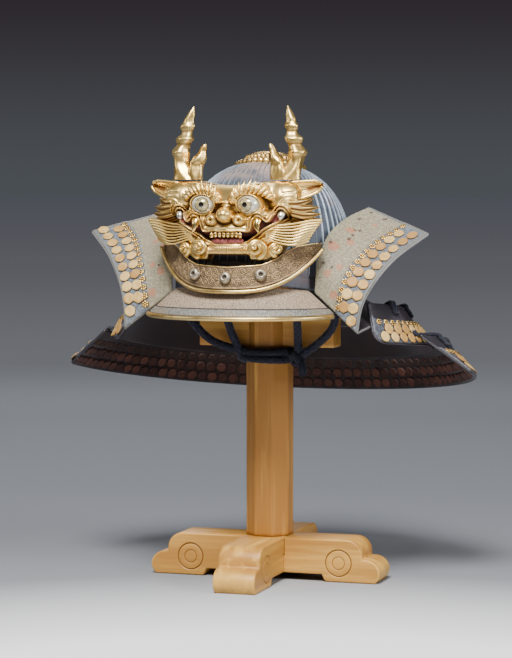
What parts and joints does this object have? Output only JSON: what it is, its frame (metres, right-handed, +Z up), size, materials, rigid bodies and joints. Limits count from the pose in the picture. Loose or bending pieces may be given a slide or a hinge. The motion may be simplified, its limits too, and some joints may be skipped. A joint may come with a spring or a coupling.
{
  "type": "samurai helmet on a wooden stand",
  "caption": "Ribbed samurai helmet with a gilt beast mask, antlers, turned-back wings and laced neck guard, on a plain wooden post stand with crossed feet.",
  "frame": {"origin": "on the floor, under the middle of the whole object's box", "axes": "+Z up along the post, -Y the way the mask faces, +X the wearer's left"},
  "size_m": [0.4652, 0.3892, 0.5213],
  "materials": {
    "iron": "blue-grey russet iron plates with paler raised ribs",
    "gilt": "gilt copper fittings, polished with dark recesses",
    "carving": "gold leaf over carved wood, rubbed on high places and dark red in the mouth",
    "engraved": "brownish engraved copper alloy with fine scrollwork",
    "leather": "pale stencilled leather with fine speckle and small blossoms",
    "lacquer": "black to aubergine lacquer with rows of ochre gilt scales, dark red-brown inside",
    "cord": "navy braided silk cord",
    "enamel": "glossy inlaid eye with silver white, brass iris and black pupil",
    "wood": "honey-coloured close-grained wood with a thin satin finish"
  },
  "bodies": {
    "root": {"foot_beam_sideways": "wood", "foot_beam_lengthways": "wood", "post": "wood", "crossbar": "wood", "head_block": "wood", "bowl": "iron", "crown_petals": "gilt", "crown_beaded_ring": "gilt", "crown_collar": "gilt", "peak": "leather", "peak_rim": "gilt", "crescent_plate": "engraved", "crescent_rim": "gilt", "rivet_right_side": "engraved", "rivet_middle": "engraved", "rivet_left_side": "engraved", "crest_holder": "lacquer", "mask": "carving", "eye_right_side": "enamel", "eye_left_side": "enamel", "antler_right_side": "carving", "antler_left_side": "carving", "neck_lame_top": "lacquer", "neck_lame_middle": "lacquer", "neck_lame_bottom": "lacquer", "chin_cord": "cord", "lace_upper_1": "cord", "lace_upper_2": "cord", "lace_upper_3": "cord", "lace_upper_4": "cord", "lace_upper_5": "cord", "lace_upper_6": "cord", "lace_upper_7": "cord", "lace_upper_8": "cord", "lace_upper_9": "cord", "lace_lower_1": "cord", "lace_lower_2": "cord", "lace_lower_3": "cord", "lace_lower_4": "cord", "lace_lower_5": "cord", "lace_lower_6": "cord", "lace_lower_7": "cord", "lace_lower_8": "cord", "lace_lower_9": "cord"}
  },
  "joints": []
}
